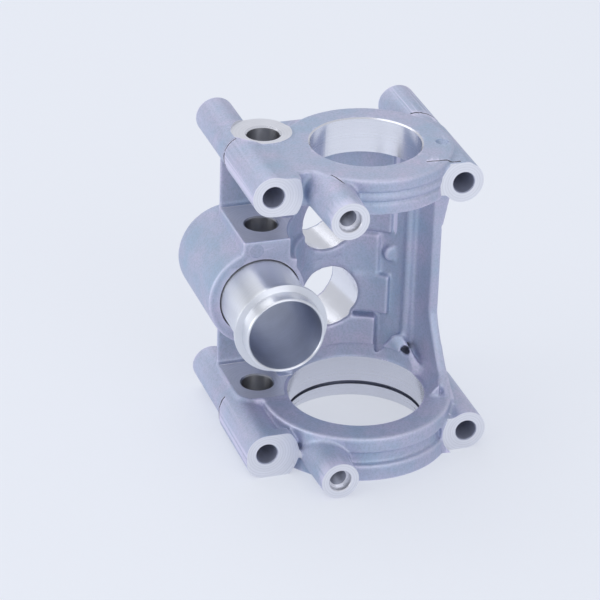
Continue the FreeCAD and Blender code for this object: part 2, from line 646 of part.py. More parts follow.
sketch = sketch_on(casting, "BarrelLugOutline", "XY_Plane", "<barrel_lug_height>")
add_circle(sketch, "-<rocker_shaft_x>", "<rocker_shaft_y>", "<barrel_lug_radius>")
grow(casting, "Pad", "BarrelLug", sketch, "<barrel_height> - <barrel_lug_height>")

# Bosses of the lifter bores on a plane that leans with the lifter axes.
lifter_low = "<lifter_middle> - <lifter_pitch> / 2"
lifter_high = "<lifter_middle> + <lifter_pitch> / 2"


def lifter_sketch(name, distance, radius):
    """Two circles on a plane across the lifter axes, a distance from the camshaft axis."""
    drawing = turned_sketch(casting, name, "<lifter_tilt>", 1, distance)
    add_circle(drawing, "0", lifter_low, radius)
    add_circle(drawing, "0", lifter_high, radius)
    return drawing


sketch = lifter_sketch("LifterBossOutline", "<lifter_boss_start>", "<lifter_boss_radius>")
grow(casting, "Pad", "LifterBosses", sketch, "<lifter_boss_end> - <lifter_boss_start>", backwards=True)

# Ejector pin pad at the edge of the back wall.
sketch = sketch_on(casting, "PinMarkOutline", "XZ_Plane", "-<pin_mark_front>")
add_circle(sketch, "<pin_mark_x>", "<pin_mark_height>", "<pin_mark_radius>")
grow(casting, "Pad", "PinMark", sketch, "<pin_mark_length>", backwards=True)

# Bolt bosses: the front halves are a little thicker than the rear ones.
BOLTS = (
    ("-<left_bolts>", "<upper_left_bolt_height>"),
    ("<upper_right_bolt>", "<upper_right_bolt_height>"),
    ("-<left_bolts>", "<lower_left_bolt_height>"),
    ("<lower_right_bolt>", "<lower_right_bolt_height>"),
)


def circles_at(name, offset, places, radius):
    """Sketch across the cylinder direction with equal circles at several places."""
    drawing = sketch_on(casting, name, "XZ_Plane", offset)
    for across, along in places:
        add_circle(drawing, across, along, radius)
    return drawing


sketch = circles_at("BoltBossOutline", "-<bolt_boss_reach>", BOLTS, "<bolt_boss_radius>")
grow(casting, "Pad", "BoltBosses", sketch, "<bolt_face> + <bolt_boss_reach>")

sketch = circles_at("BoltStemOutline", "-<bolt_boss_reach>", BOLTS, "<bolt_stem_radius>")
grow(casting, "Pad", "BoltStems", sketch, "<head_face> - <bolt_boss_reach>", backwards=True)

# Tapped bosses for the head cover.
COVER_SCREWS = (
    ("-<cover_bosses>", "<upper_cover_height>"),
    ("-<cover_bosses>", "<lower_cover_height>"),
)
sketch = circles_at("CoverBossOutline", "<cover_face>", COVER_SCREWS, "<cover_boss_radius>")
grow(casting, "Pad", "CoverBosses", sketch, "<cover_face> - <cover_boss_root>", backwards=True,
     draft="<cover_boss_draft>")

# Machined underside: nothing reaches below it.
sketch = sketch_on(casting, "UndersideOutline", "XY_Plane")
add_outline(sketch, [
    ("-<facing_reach>", "-<facing_reach>"),
    ("<facing_reach>", "-<facing_reach>"),
    ("<facing_reach>", "<facing_reach>"),
    ("-<facing_reach>", "<facing_reach>"),
])
grow(casting, "Pocket", "Underside", sketch, "<cover_boss_radius>")

# The turned room for bearings and cams.
sketch = sketch_on(casting, "RoomProfile", "XZ_Plane")
circlip_top = "<circlip_groove_height> + <circlip_groove_width>"
circlip_bottom = "<large_seat_radius> + <circlip_groove_depth>"
add_outline(sketch, [
    ("0", "0"),
    ("<large_seat_radius> + <seat_lead_in>", "0"),
    ("<large_seat_radius>", "<seat_land_end>"),
    ("<large_seat_radius>", "<circlip_groove_height>"),
    (circlip_bottom, "<circlip_groove_height>"),
    (circlip_bottom, circlip_top),
    ("<large_seat_radius>", circlip_top),
    ("<large_seat_radius>", "<lower_face>"),
    ("<seat_relief_radius>", "<lower_face>"),
    ("<seat_relief_radius>", "<seat_relief_top>"),
    ("<swing_radius>", "<seat_relief_top>"),
    ("<swing_radius>", "<upper_swing_start>"),
    ("<upper_swing_radius>", "<upper_swing_start>"),
    ("<upper_swing_radius>", plate_bottom),
    ("<small_seat_radius>", plate_bottom),
    ("<small_seat_radius>", "<upper_face> - <seat_chamfer>"),
    ("<small_seat_radius> + <seat_chamfer>", "<upper_face>"),
    ("0", "<upper_face>"),
])
turn(casting, "Groove", "Room", sketch)

# Narrow slots under the two panels.
for name, bottom in (("LowerSlot", "<ledge_height>"), ("UpperSlot", "<upper_panel_bottom>")):
    sketch = sketch_on(casting, name + "Outline", "XY_Plane", bottom)
    add_sector(sketch, "<swing_radius> - <overlap>", "<back_wall_inner> + <slot_depth>",
               "<slot_start>", "<slot_sweep>")
    grow(casting, "Pocket", name, sketch, "<slot_width>")

# Lifter bores.
sketch = lifter_sketch("LifterBoreOutline", "<lifter_boss_start> - <lifter_run_in>",
                       "<lifter_radius>")
grow(casting, "Pocket", "LifterBores", sketch,
     "<lifter_boss_end> - <lifter_boss_start> + 2 * <lifter_run_in>")

# The tool that faces the right bosses also skims the rings beside them.
sketch = circles_at("SpotFaceOutline", "<bolt_face>", (BOLTS[1], BOLTS[3]), "<spot_face_radius>")
grow(casting, "Pocket", "SpotFaces", sketch, "<lower_ring_radius> - <bolt_face>", backwards=True)

# Machined pad of the upper lug; its cutter also skims the bolt boss beside it.
sketch = sketch_on(casting, "UpperPadCut", "XY_Plane", "<upper_pad_height>")
add_slot(sketch, "-<rocker_shaft_x>", "<upper_lug_front>", "<upper_lug_back>", "<upper_lug_radius>")
grow(casting, "Pocket", "UpperPadFace", sketch, "<bolt_boss_radius>", backwards=True)

# Rocker shaft bores: through the upper and the lower lug, blind in the barrel from both sides.
sketch = sketch_on(casting, "UpperShaftOutline", "XY_Plane", "<upper_pad_height>")
add_circle(sketch, "-<rocker_shaft_x>", "<rocker_shaft_y>", "<rocker_bore_radius>")
grow(casting, "Pocket", "UpperShaftBore", sketch,
     "<upper_pad_height> - <middle_pad_height> + <rocker_blind_depth>")

sketch = sketch_on(casting, "LowerShaftOutline", "XY_Plane")
add_circle(sketch, "-<rocker_shaft_x>", "<rocker_shaft_y>", "<rocker_bore_radius>")
grow(casting, "Pocket", "LowerShaftBore", sketch,
     "<barrel_lug_height> + <rocker_blind_depth>", backwards=True)

# Seat of the plug tube and the way on to the cylinder head.
TUBE_PLACE = (("-<barrel_x>", "<barrel_height>"),)
sketch = circles_at("TubeSeatOutline", "-<barrel_front>", TUBE_PLACE, "<tube_radius>")
grow(casting, "Pocket", "TubeSeat", sketch, "<tube_end> - <barrel_front>")
sketch = circles_at("TubeMouthOutline", "-<barrel_front>", TUBE_PLACE,
                    "<tube_radius> + <tube_mouth_chamfer>")
grow(casting, "Pocket", "TubeMouth", sketch, "<tube_mouth_chamfer>", draft="-45")
sketch = circles_at("PlugWellOutline", "-<tube_end>", TUBE_PLACE, "<tube_bore_radius>")
grow(casting, "Pocket", "PlugWell", sketch, "<barrel_back> - <tube_end>")

# Bolt holes and the tapped holes with their plain mouths.
sketch = circles_at("BoltHoleOutline", "<bolt_face>", BOLTS, "<bolt_hole_radius>")
grow(casting, "Pocket", "BoltHoles", sketch, "<bolt_face> + <head_face>")
sketch = circles_at("CoverThreadOutline", "<cover_face>", COVER_SCREWS, "<cover_thread_radius>")
grow(casting, "Pocket", "CoverThreads", sketch, "<cover_thread_depth>")
sketch = circles_at("CoverMouthOutline", "<cover_face>", COVER_SCREWS, "<cover_counterbore_radius>")
grow(casting, "Pocket", "CoverMouths", sketch, "<cover_counterbore_depth>")

# Oil hole square to the gusset's face.
sketch = turned_sketch(casting, "OilHoleOutline", "<oil_hole_turn>", -1, "<oil_hole_start>")
add_circle(sketch, "<oil_hole_across>", "<oil_hole_height>", "<oil_hole_radius>")
grow(casting, "Pocket", "OilHole", sketch, "<oil_hole_depth>")

# The plug tube, turned about its own axis.
tube = doc.addObject("PartDesign::Body", "PlugTube")
tube.Label = "plug_tube"
sketch = sketch_on(tube, "TubeProfile", "YZ_Plane", "-<barrel_x>")
bind(sketch, "AttachmentOffset.Base.y", "<barrel_height>")
tip_outer = "<nose_radius> - <tip_chamfer>"
tip_inner = "<tube_bore_radius> + <tip_chamfer>"
collar_back = "-<collar_face> + <collar_width>"
add_outline(sketch, [
    ("-<tube_tip> + <tip_chamfer>", "<nose_radius>"),
    ("-<collar_face>", "<nose_radius>"),
    ("-<collar_face>", "<collar_radius>"),
    (collar_back, "<collar_radius>"),
    (collar_back, "<tube_radius>"),
    ("<tube_end>", "<tube_radius>"),
    ("<tube_end>", "<tube_bore_radius>"),
    ("-<tube_tip> + <tip_chamfer>", "<tube_bore_radius>"),
    ("-<tube_tip>", tip_inner),
    ("-<tube_tip>", tip_outer),
])
turn(tube, "Revolution", "TubeTurned", sketch, "H_Axis")

# Heights above count from the underside. The part's own origin is the centre of the large seat.
seat_centre = "(<lower_face> + %s) / 2" % circlip_top
for body in (casting, tube):
    bind(body, "Placement.Base.z", "-" + seat_centre)
doc.recompute()
faults = [item.Label for item in doc.Objects if "Invalid" in item.State or "Error" in item.State]
if faults:
    raise RuntimeError("features that did not build: " + ", ".join(faults))
for body in (casting, tube):
    shape = body.Shape
    if shape.isNull() or not shape.isValid() or len(shape.Solids) != 1:
        raise RuntimeError(body.Label + " is not one valid solid")
    box = shape.BoundBox
    print("%s %.1f cm3, x %.2f %.2f, y %.2f %.2f, z %.2f %.2f" % (
        body.Label, shape.Volume / 1000,
        box.XMin, box.XMax, box.YMin, box.YMax, box.ZMin, box.ZMax))
    shape.exportStep(os.path.join(OUT, body.Label + ".step"))
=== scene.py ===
import math
import random

import bpy
from mathutils import Matrix, Vector


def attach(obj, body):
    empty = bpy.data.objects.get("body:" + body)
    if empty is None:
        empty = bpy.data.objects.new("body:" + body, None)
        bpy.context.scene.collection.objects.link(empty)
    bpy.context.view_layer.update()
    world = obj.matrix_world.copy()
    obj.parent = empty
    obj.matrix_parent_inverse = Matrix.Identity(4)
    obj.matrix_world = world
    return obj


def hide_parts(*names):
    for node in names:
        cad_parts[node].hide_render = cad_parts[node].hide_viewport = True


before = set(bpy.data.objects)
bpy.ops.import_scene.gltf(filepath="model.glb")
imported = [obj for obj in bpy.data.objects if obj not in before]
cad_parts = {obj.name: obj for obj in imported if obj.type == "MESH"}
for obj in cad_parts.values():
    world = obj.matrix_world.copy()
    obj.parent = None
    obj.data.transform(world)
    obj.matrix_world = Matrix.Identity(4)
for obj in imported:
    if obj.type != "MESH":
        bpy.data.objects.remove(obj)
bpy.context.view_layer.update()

bl_info = {
    "name": "Camshaft holder",
    "version": (1, 0, 0),
    "blender": (4, 5, 0),
    "location": "3D View > Sidebar > Holder",
    "description": "Dresses the camshaft holder's casting and plug tube, and sets its stage",
    "category": "Object",
}

# Millimetres, with heights counted from the underside. The frame's origin is the large seat's
# centre, Y runs from the head cover to the cylinder head.
MM = 0.001
SEAT_CENTRE = 11.6

# Axes: x and height of those along Y, x and y of those along Z, heights of the two lifters.
BOLTS = ((-38.2, 104.4), (27.0, 101.6), (-38.2, 8.9), (33.0, 7.0))
COVER_SCREWS = ((-18.9, 102.8), (-18.9, 6.8))
TUBE = (-34.6, 56.5)
PIN_MARK = (-36.3, 74.0)
SHAFT = (-30.9, 14.05)
UPPER_PAD = (-30.9, 15.8)
LIFTERS = (41.3, 70.1)
LIFTER_TILT = math.radians(8.0)
OIL_HOLE = ((19.36, 4.66, 23.1), (23.12, 14.99, 23.1))

# Machined faces: places along Y, then heights.
COVER_FACE = -40.3
BOLT_FACE = -20.65
BARREL_FACE = 1.35
HEAD_FACE = 44.35
PAD_FACE = 110.6
RING_TOP = 110.3
UPPER_PLATE = 108.9
MIDDLE_PAD = 77.4
LOWER_PAD = 16.6
SKIM = 0.06

# Radii of bores and holes.
SMALL_SEAT = 18.5
LARGE_SEAT = 23.5
SHAFT_BORE = 5.5
SHAFT_BORE_MOUTH = 6.1
LIFTER_BORE = 11.0
BOLT_HOLE = 3.6
COVER_MOUTH = 3.75
OIL_BORE = 1.6

# Thread of the cover screws: core radius, depth of its flanks, half its pitch, start and steps.
THREAD_CORE = 2.4
THREAD_DEPTH = 0.65
THREAD_HALF_PITCH = 0.5
THREAD_START = 2.6
THREAD_STEPS = 30

# Circlip groove of the large seat: radius, lower and upper edge.
GROOVE = (24.8, 5.6, 7.0)

# Plug tube: radius and place along Y, from the rear end forward round the collar and back inside.
TUBE_OUTLINE = (
    (13.75, 29.0), (13.75, -19.65), (15.9, -19.65), (15.9, -21.05), (13.5, -21.05),
    (13.5, -25.9), (13.05, -26.35), (12.85, -26.35), (12.4, -25.9), (12.4, 29.0),
)
TUBE_SEAT = (
    (14.5, 0.3), (14.1, 1.7), (14.0, 3.0), (13.75, 3.4), (13.75, 29.0), (12.4, 29.0), (12.4, 38.0),
)
TUBE_INSIDE = 12.6
TUBE_EDGE = 0.00022

# Parting burrs round bosses: axis, place and drift along Y, first and last angle, bar radius.
BURR_ARCS = (
    (-38.2, 104.4, 12.2, -0.3, 112, 160, 0.35),
    (-38.2, 104.4, 11.6, -1.6, 164, 236, 0.6),
    (-38.2, 8.9, 11.9, -0.3, 135, 225, 0.45),
    (27.0, 101.6, 22.5, -5.0, 118, 40, 0.4),
)
# Burrs along the top of the plates: points in x and y, height of the plate, bar radius.
BURR_LINES = (
    (((13.9, -19.9), (16.1, -19.6), (18.2, -20.1), (20.4, -19.9), (22.6, -19.6), (26.0, -19.3)),
     108.9, 0.35),
    (((-19.2, -21.0), (-18.4, -22.8), (-17.4, -24.8), (-16.5, -26.6)), 110.3, 0.25),
)
BURR_STEPS = 14
BURR_SEED = 7
ARC_WANDER = 0.25
LINE_WANDER = 0.2
RAY_START = 12
DENT = (24.2, -6.6)
DENT_RADIUS = 2.4
DENT_RISE = 2.0

# Skin: its triangles, and the facets (square metres) that are split near a mark (metres).
SKIN_TRIANGLES = 160000
FLAT_FACET = 8e-7
MARK_REACH = 0.004
CRISP_ANGLE = math.radians(32)

# Stage: how much of the floor glows to the camera and in reflections, world light, and panels
# with their place and size in metres and power in watts.
FLOOR_GLOW = 0.56
FLOOR_MIRRORED = 0.4
WORLD_COLOUR = (0.93, 0.95, 1.0)
WORLD_STRENGTH = 0.68
PANELS = (
    ("key_panel", (-0.3, 0.7, 1.6), 1.6, 7.0),
    ("side_panel", (-1.8, -0.1, 0.35), 1.3, 12.0),
    ("fill_panel", (0.2, -1.7, 0.8), 1.4, 8.0),
)
PANEL_AIM = 55

# Camera fitted to the photo: azimuth, elevation and roll in degrees, then its way back, to the
# right and up from the middle of the bolt faces, and the focal length in the photo's pixels.
CAMERA_ANGLES = (-19.073, 28.061, 1.798)
CAMERA_BACK, CAMERA_ASIDE, CAMERA_ABOVE = 1043.5, -25.036, 54.686
FOCAL_PIXELS = 3076.81
PHOTO_WIDTH = 600
SENSOR_WIDTH = 36.0


def spot(x, y, height):
    """Point of the frame, in metres, from millimetres counted from axis and underside."""
    return Vector((x, y, height - SEAT_CENTRE)) * MM


# Modelling helpers

def nothing_selected():
    if bpy.context.object and bpy.context.object.mode != "OBJECT":
        bpy.ops.object.mode_set(mode="OBJECT")
    bpy.ops.object.select_all(action="DESELECT")


def only(piece):
    nothing_selected()
    piece.select_set(True)
    bpy.context.view_layer.objects.active = piece


def settle(piece):
    """Put the object at the origin, with its place in its mesh."""
    only(piece)
    bpy.ops.object.transform_apply(location=True, rotation=True, scale=True)


def finished(piece, finish):
    """Settle a new piece and give it its finish."""
    settle(piece)
    if finish:
        piece.data.materials.append(finish)
    return piece


def joined(pieces, name):
    nothing_selected()
    for piece in pieces:
        piece.select_set(True)
    bpy.context.view_layer.objects.active = pieces[0]
    if len(pieces) > 1:
        bpy.ops.object.join()
    whole = bpy.context.object
    whole.name = name
    whole.data.name = name
    return whole


def finish_with(piece, kind, **values):
    """Add a modifier, set it and apply it."""
    only(piece)
    modifier = piece.modifiers.new(kind.lower(), kind)
    for key, value in values.items():
        setattr(modifier, key, value)
    bpy.ops.object.modifier_apply(modifier=modifier.name)


def choose(piece, kind, wanted):
    """Go into edit mode with only the wanted faces (FACE) or points (VERT) selected."""
    only(piece)
    bpy.ops.object.mode_set(mode="EDIT")
    bpy.ops.mesh.select_mode(type=kind)
    bpy.ops.mesh.select_all(action="DESELECT")
    bpy.ops.object.mode_set(mode="OBJECT")
    parts = piece.data.polygons if kind == "FACE" else piece.data.vertices
    found = [part for part in parts if wanted(part)]
    if not found:
        raise RuntimeError(f"nothing to select was found on {piece.name}")
    for part in found:
        part.select = True
    bpy.ops.object.mode_set(mode="EDIT")


def leave_edit():
    bpy.ops.mesh.select_mode(type="VERT")
    bpy.ops.object.mode_set(mode="OBJECT")


def outwards():
    """Turn all normals of the piece in edit mode outwards, and leave edit mode."""
    bpy.ops.mesh.select_all(action="SELECT")
    bpy.ops.mesh.normals_make_consistent(inside=False)
    bpy.ops.object.mode_set(mode="OBJECT")


def rod(start, end, radius, finish=None, sides=64):
    """Round bar between two points given in millimetres."""
    nothing_selected()
    first, last = spot(*start), spot(*end)
    way = last - first
    bpy.ops.mesh.primitive_cone_add(
        vertices=sides, radius1=radius * MM, radius2=radius * MM, depth=way.length,
        location=(first + last) / 2, rotation=way.to_track_quat("Z", "Y").to_euler())
    return finished(bpy.context.object, finish)


def block(low, high, finish=None):
    """Straight block between two corners given in millimetres."""
    nothing_selected()
    first, last = spot(*low), spot(*high)
    bpy.ops.mesh.primitive_cube_add(size=1, location=(first + last) / 2, scale=last - first)
    return finished(bpy.context.object, finish)


def lathe(profile, centre, way, finish=None, sides=96, closed=True):
    """Turned form: rings of (radius, distance along the way), each grown from the one before."""
    nothing_selected()
    way = Vector(way).normalized()
    radius, distance = profile[0]
    bpy.ops.mesh.primitive_circle_add(
        vertices=sides, radius=radius * MM, fill_type="NGON" if closed else "NOTHING",
        location=centre + way * (distance * MM),
        rotation=way.to_track_quat("Z", "Y").to_euler())
    piece = bpy.context.object
    bpy.ops.object.mode_set(mode="EDIT")
    bpy.ops.mesh.select_all(action="SELECT")
    for wide, far in profile[1:]:
        bpy.ops.mesh.extrude_region_move(
            TRANSFORM_OT_translate={"value": way * ((far - distance) * MM)})
        ratio = wide / radius
        bpy.ops.transform.resize(value=(ratio, ratio, ratio),
                                 center_override=centre + way * (far * MM))
        radius, distance = wide, far
    outwards()
    return finished(piece, finish)


def wire(points, radius, finish=None, sides=8):
    """Thin closed bar along a line of points, as the cutter of a groove."""
    nothing_selected()
    way = points[1] - points[0]
    bpy.ops.mesh.primitive_circle_add(
        vertices=sides, radius=radius * MM, fill_type="NGON", location=points[0],
        rotation=way.to_track_quat("Z", "Y").to_euler())
    piece = bpy.context.object
    bpy.ops.object.mode_set(mode="EDIT")
    bpy.ops.mesh.select_all(action="SELECT")
    for before, after in zip(points, points[1:]):
        bpy.ops.mesh.extrude_region_move(TRANSFORM_OT_translate={"value": after - before})
    outwards()
    return finished(piece, finish)


def laid_on(skin, start, way):
    """Point where a ray meets the skin, for marks that lie on it."""
    hit, place, _, _ = skin.ray_cast(start, way)
    if not hit:
        raise RuntimeError("a mark found no skin under it")
    return place


# Finishes

def material(name):
    made = bpy.data.materials.new(name)
    made.use_nodes = True
    made.node_tree.nodes.clear()
    return made


def node(tree, kind, at, **values):
    made = tree.nodes.new(kind)
    made.location = at
    for key, value in values.items():
        setattr(made, key, value)
    return made


def math_node(tree, at, operation, first, second):
    """Math node on two sockets or numbers; gives its result."""
    made = node(tree, "ShaderNodeMath", at, operation=operation)
    for socket, given in zip(made.inputs, (first, second)):
        if isinstance(given, bpy.types.NodeSocket):
            tree.links.new(given, socket)
        else:
            socket.default_value = given
    return made.outputs["Value"]


def noise_node(tree, at, detail, roughness, **values):
    made = node(tree, "ShaderNodeTexNoise", at, **values)
    made.inputs["Detail"].default_value = detail
    made.inputs["Roughness"].default_value = roughness
    return made


def group(name, inputs, outputs):
    """Empty shader node group with named sockets."""
    made = bpy.data.node_groups.new(name, "ShaderNodeTree")
    for label, kind, default in inputs:
        socket = made.interface.new_socket(name=label, in_out="INPUT", socket_type=kind)
        socket.default_value = default
    for label in outputs:
        made.interface.new_socket(name=label, in_out="OUTPUT", socket_type="NodeSocketFloat")
    return made


def mottle_group():
    """Cloudy variation and fine grain of a cast or worked metal surface."""
    made = group("metal_mottle", (
        ("Vector", "NodeSocketVector", (0, 0, 0)),
        ("Patch Scale", "NodeSocketFloat", 90.0),
        ("Grain Scale", "NodeSocketFloat", 1400.0),
    ), ("Patches", "Grain"))
    inside = node(made, "NodeGroupInput", (-600, 0))
    out = node(made, "NodeGroupOutput", (400, 0))
    patches = noise_node(made, (-300, 150), 5.0, 0.62)
    grain = noise_node(made, (-300, -150), 3.0, 0.7)
    for noise, scale, result in ((patches, "Patch Scale", "Patches"),
                                 (grain, "Grain Scale", "Grain")):
        made.links.new(inside.outputs["Vector"], noise.inputs["Vector"])
        made.links.new(inside.outputs[scale], noise.inputs["Scale"])
        made.links.new(noise.outputs["Fac"], out.inputs[result])
    return made


def rings_group():
    """Fine rings that a cutting tool leaves, from the distance to its axis or along it."""
    made = group("tool_rings", (
        ("Distance", "NodeSocketFloat", 0.0),
        ("Pitch", "NodeSocketFloat", 0.0006),
        ("Waver", "NodeSocketFloat", 0.2),
    ), ("Rings",))
    inside = node(made, "NodeGroupInput", (-800, 0))
    out = node(made, "NodeGroupOutput", (600, 0))
    steps = math_node(made, (-400, 100), "DIVIDE", inside.outputs["Distance"],
                      inside.outputs["Pitch"])
    noise = noise_node(made, (-200, -200), 3.0, 0.7, noise_dimensions="1D")
    noise.inputs["Scale"].default_value = 0.7
    made.links.new(steps, noise.inputs["W"])
    turn = math_node(made, (-200, 100), "MULTIPLY", steps, 2 * math.pi)
    wave = node(made, "ShaderNodeMath", (0, 100), operation="SINE")
    made.links.new(turn, wave.inputs[0])
    scaled = node(made, "ShaderNodeMath", (200, 100), operation="MULTIPLY_ADD")
    made.links.new(wave.outputs["Value"], scaled.inputs[0])
    made.links.new(inside.outputs["Waver"], scaled.inputs[1])
    made.links.new(noise.outputs["Fac"], scaled.inputs[2])
    made.links.new(scaled.outputs["Value"], out.inputs["Rings"])
    return made


def tool_distance(tree, coords, plane, centres):
    """Distance from the nearest of some axes; plane is 1 for each coordinate that counts."""
    flat = node(tree, "ShaderNodeVectorMath", (-1100, -300), operation="MULTIPLY")
    flat.inputs[1].default_value = plane
    tree.links.new(coords.outputs["Object"], flat.inputs[0])
    nearest = None
    for step, centre in enumerate(centres):
        apart = node(tree, "ShaderNodeVectorMath", (-950, -300 - 150 * step), operation="DISTANCE")
        apart.inputs[1].default_value = [c * k for c, k in zip(centre, plane)]
        tree.links.new(flat.outputs["Vector"], apart.inputs[0])
        value = apart.outputs["Value"]
        nearest = value if nearest is None else math_node(
            tree, (-800, -300 - 150 * step), "MINIMUM", nearest, value)
    return nearest


def ranged(tree, at, value, low, high, to_low=0.0, to_high=1.0):
    """Map Range node from a span of the value to a span of the result."""
    made = node(tree, "ShaderNodeMapRange", at)
    for label, number in (("From Min", low), ("From Max", high),
                          ("To Min", to_low), ("To Max", to_high)):
        made.inputs[label].default_value = number
    tree.links.new(value, made.inputs["Value"])
    return made.outputs["Result"]


def blended(tree, at, share, first, second):
    """Colour mix of two sockets or colours; share is a socket."""
    made = node(tree, "ShaderNodeMix", at, data_type="RGBA")
    tree.links.new(share, made.inputs["Factor"])
    for label, given in (("A", first), ("B", second)):
        if isinstance(given, bpy.types.NodeSocket):
            tree.links.new(given, made.inputs[label])
        else:
            made.inputs[label].default_value = (*given, 1)
    return made.outputs["Result"]


def metal(name, groups, colours, rough, metallic, bump, patch=90.0, plane=None, centres=(),
          pitch=0.0006, ring_share=0.0, edge=0.0, speckle=0.0, turned_about=None):
    """Metal finish: two colours in patches, lighter edges that are partly wear and partly painted
    highlight, grain and tool rings.
    """
    made = material(name)
    tree = made.node_tree
    out = node(tree, "ShaderNodeOutputMaterial", (900, 0))
    shader = node(tree, "ShaderNodeBsdfPrincipled", (600, 0))
    tree.links.new(shader.outputs["BSDF"], out.inputs["Surface"])
    coords = node(tree, "ShaderNodeTexCoord", (-1300, 0))
    mottle = node(tree, "ShaderNodeGroup", (-500, 100), node_tree=groups["mottle"])
    mottle.inputs["Patch Scale"].default_value = patch
    tree.links.new(coords.outputs["Object"], mottle.inputs["Vector"])
    spread = ranged(tree, (-250, 200), mottle.outputs["Patches"], 0.32, 0.68)
    colour = blended(tree, (0, 200), spread, *colours)
    height = mottle.outputs["Grain"]
    if speckle:
        dark = ranged(tree, (-250, 0), height, 0.58, 0.38, 0.0, speckle)
        colour = blended(tree, (100, 100), dark, colour, [c * 0.72 for c in colours[0]])
    # Lighter colour where the skin is pointy: partly edge wear, partly painted highlight.
    if edge:
        shape = node(tree, "ShaderNodeNewGeometry", (-500, 400))
        worn_and_highlit = ranged(tree, (-250, 400), shape.outputs["Pointiness"], 0.505, 0.56, 0.0, edge)
        colour = blended(tree, (200, 300), worn_and_highlit, colour, [min(1, c * 1.45) for c in colours[1]])
    if plane:
        turned = node(tree, "ShaderNodeGroup", (-500, -300), node_tree=groups["rings"])
        turned.inputs["Pitch"].default_value = pitch
        tree.links.new(tool_distance(tree, coords, plane, centres), turned.inputs["Distance"])
        both = node(tree, "ShaderNodeMix", (-200, -300), data_type="FLOAT")
        both.inputs["Factor"].default_value = ring_share
        tree.links.new(height, both.inputs["A"])
        tree.links.new(turned.outputs["Rings"], both.inputs["B"])
        height = both.outputs["Result"]
        # Tool rings also darken the colour in bands: painted shade in the ring grooves.
        lit = ranged(tree, (-200, -500), turned.outputs["Rings"], 0.2, 0.8, 0.0, 0.5 * ring_share)
        colour = blended(tree, (300, 200), lit, colour, [c * 0.78 for c in colours[0]])
    relief = node(tree, "ShaderNodeBump", (300, -300))
    relief.inputs["Strength"].default_value = bump
    relief.inputs["Distance"].default_value = 0.0002
    tree.links.new(height, relief.inputs["Height"])
    tree.links.new(colour, shader.inputs["Base Color"])
    tree.links.new(ranged(tree, (0, -100), height, 0.3, 0.7, *rough), shader.inputs["Roughness"])
    tree.links.new(relief.outputs["Normal"], shader.inputs["Normal"])
    shader.inputs["Metallic"].default_value = metallic
    if turned_about:
        along = node(tree, "ShaderNodeTangent", (300, -500), direction_type="RADIAL",
                     axis=turned_about)
        tree.links.new(along.outputs["Tangent"], shader.inputs["Tangent"])
        shader.inputs["Anisotropic"].default_value = 0.85
        shader.inputs["Anisotropic Rotation"].default_value = 0.25


def shades(colour, dark, light=1.0):
    """The two tones of a finish, as shares of one colour."""
    return [c * dark for c in colour], [c * light for c in colour]


def finishes():
    """Every finish of the holder, made once."""
    if "cast_skin" in bpy.data.materials:
        return {made.name: made for made in bpy.data.materials}
    look = bpy.context.scene.holder_look
    groups = {"mottle": mottle_group(), "rings": rings_group()}
    cast, worked, steel = (tuple(c) for c in (look.cast_colour, look.machined_colour,
                                              look.tube_colour))
    blue = (cast[0] * 0.84, cast[1] * 0.96, cast[2] * 0.98)
    lavender = (cast[0] * 1.12, cast[1] * 1.01, cast[2] * 1.03)
    # Darker, bluer share of the tube colour for the tube's bore: painted shade inside the tube.
    bore_grey = (steel[0] * 0.62, steel[1] * 0.65, steel[2] * 0.74)
    faces = [spot(x, 0, height) for x, height in (*BOLTS, *COVER_SCREWS)]
    origin = [spot(0, 0, 0)]
    turned = {"rough": (0.34, 0.4), "metallic": 1.0, "bump": 0.08, "plane": (0, 1, 0),
              "centres": origin, "ring_share": 0.5, "turned_about": "Y"}
    metal("cast_skin", groups, (blue, lavender), (0.5, 0.68), 0.82, 0.45, patch=75.0,
          speckle=0.5, edge=0.6)
    metal("milled_pad", groups, shades(worked, 0.86, 0.95), (0.38, 0.5), 0.85, 0.2,
          plane=(1, 1, 0), centres=[spot(*SHAFT, 0)], pitch=0.0011, ring_share=0.45)
    metal("faced_boss", groups, shades(worked, 0.97), (0.34, 0.46), 0.9, 0.25,
          plane=(1, 0, 1), centres=faces, pitch=0.0009, ring_share=0.9)
    metal("bored_seat", groups, shades(worked, 0.97), (0.16, 0.28), 1.0, 0.06,
          plane=(0, 0, 1), centres=origin, pitch=0.0005, ring_share=0.5)
    metal("lifter_bore", groups, shades(worked, 0.97), (0.16, 0.28), 1.0, 0.12)
    # Reamed bores take a dark share of the machined colour: painted shade inside the narrow shaft
    # bores.
    metal("reamed_bore", groups, shades(worked, 0.42, 0.5), (0.3, 0.42), 1.0, 0.1,
          turned_about="Z")
    # Dark share of the cast colour for the threads, the oil hole and the circlip groove: painted
    # shade in these hollows.
    metal("tapped_hole", groups, shades(cast, 0.4, 0.55), (0.4, 0.5), 0.9, 0.2)
    metal("drilled_hole", groups, shades(cast, 0.8, 0.9), (0.4, 0.55), 0.5, 0.2)
    # Burr marks are real trimmed seams; their very dark colour is painted shade in the thin grooves
    # cut along them.
    metal("parting_burr", groups, shades(cast, 0.2, 0.5), (0.5, 0.7), 0.4, 0.6, patch=900.0)
    metal("turned_tube", groups, shades(steel, 0.97), **turned)
    metal("tube_bore", groups, shades(bore_grey, 1.0, 1.15), **turned)
    return {made.name: made for made in bpy.data.materials}


# Settings that a user would change

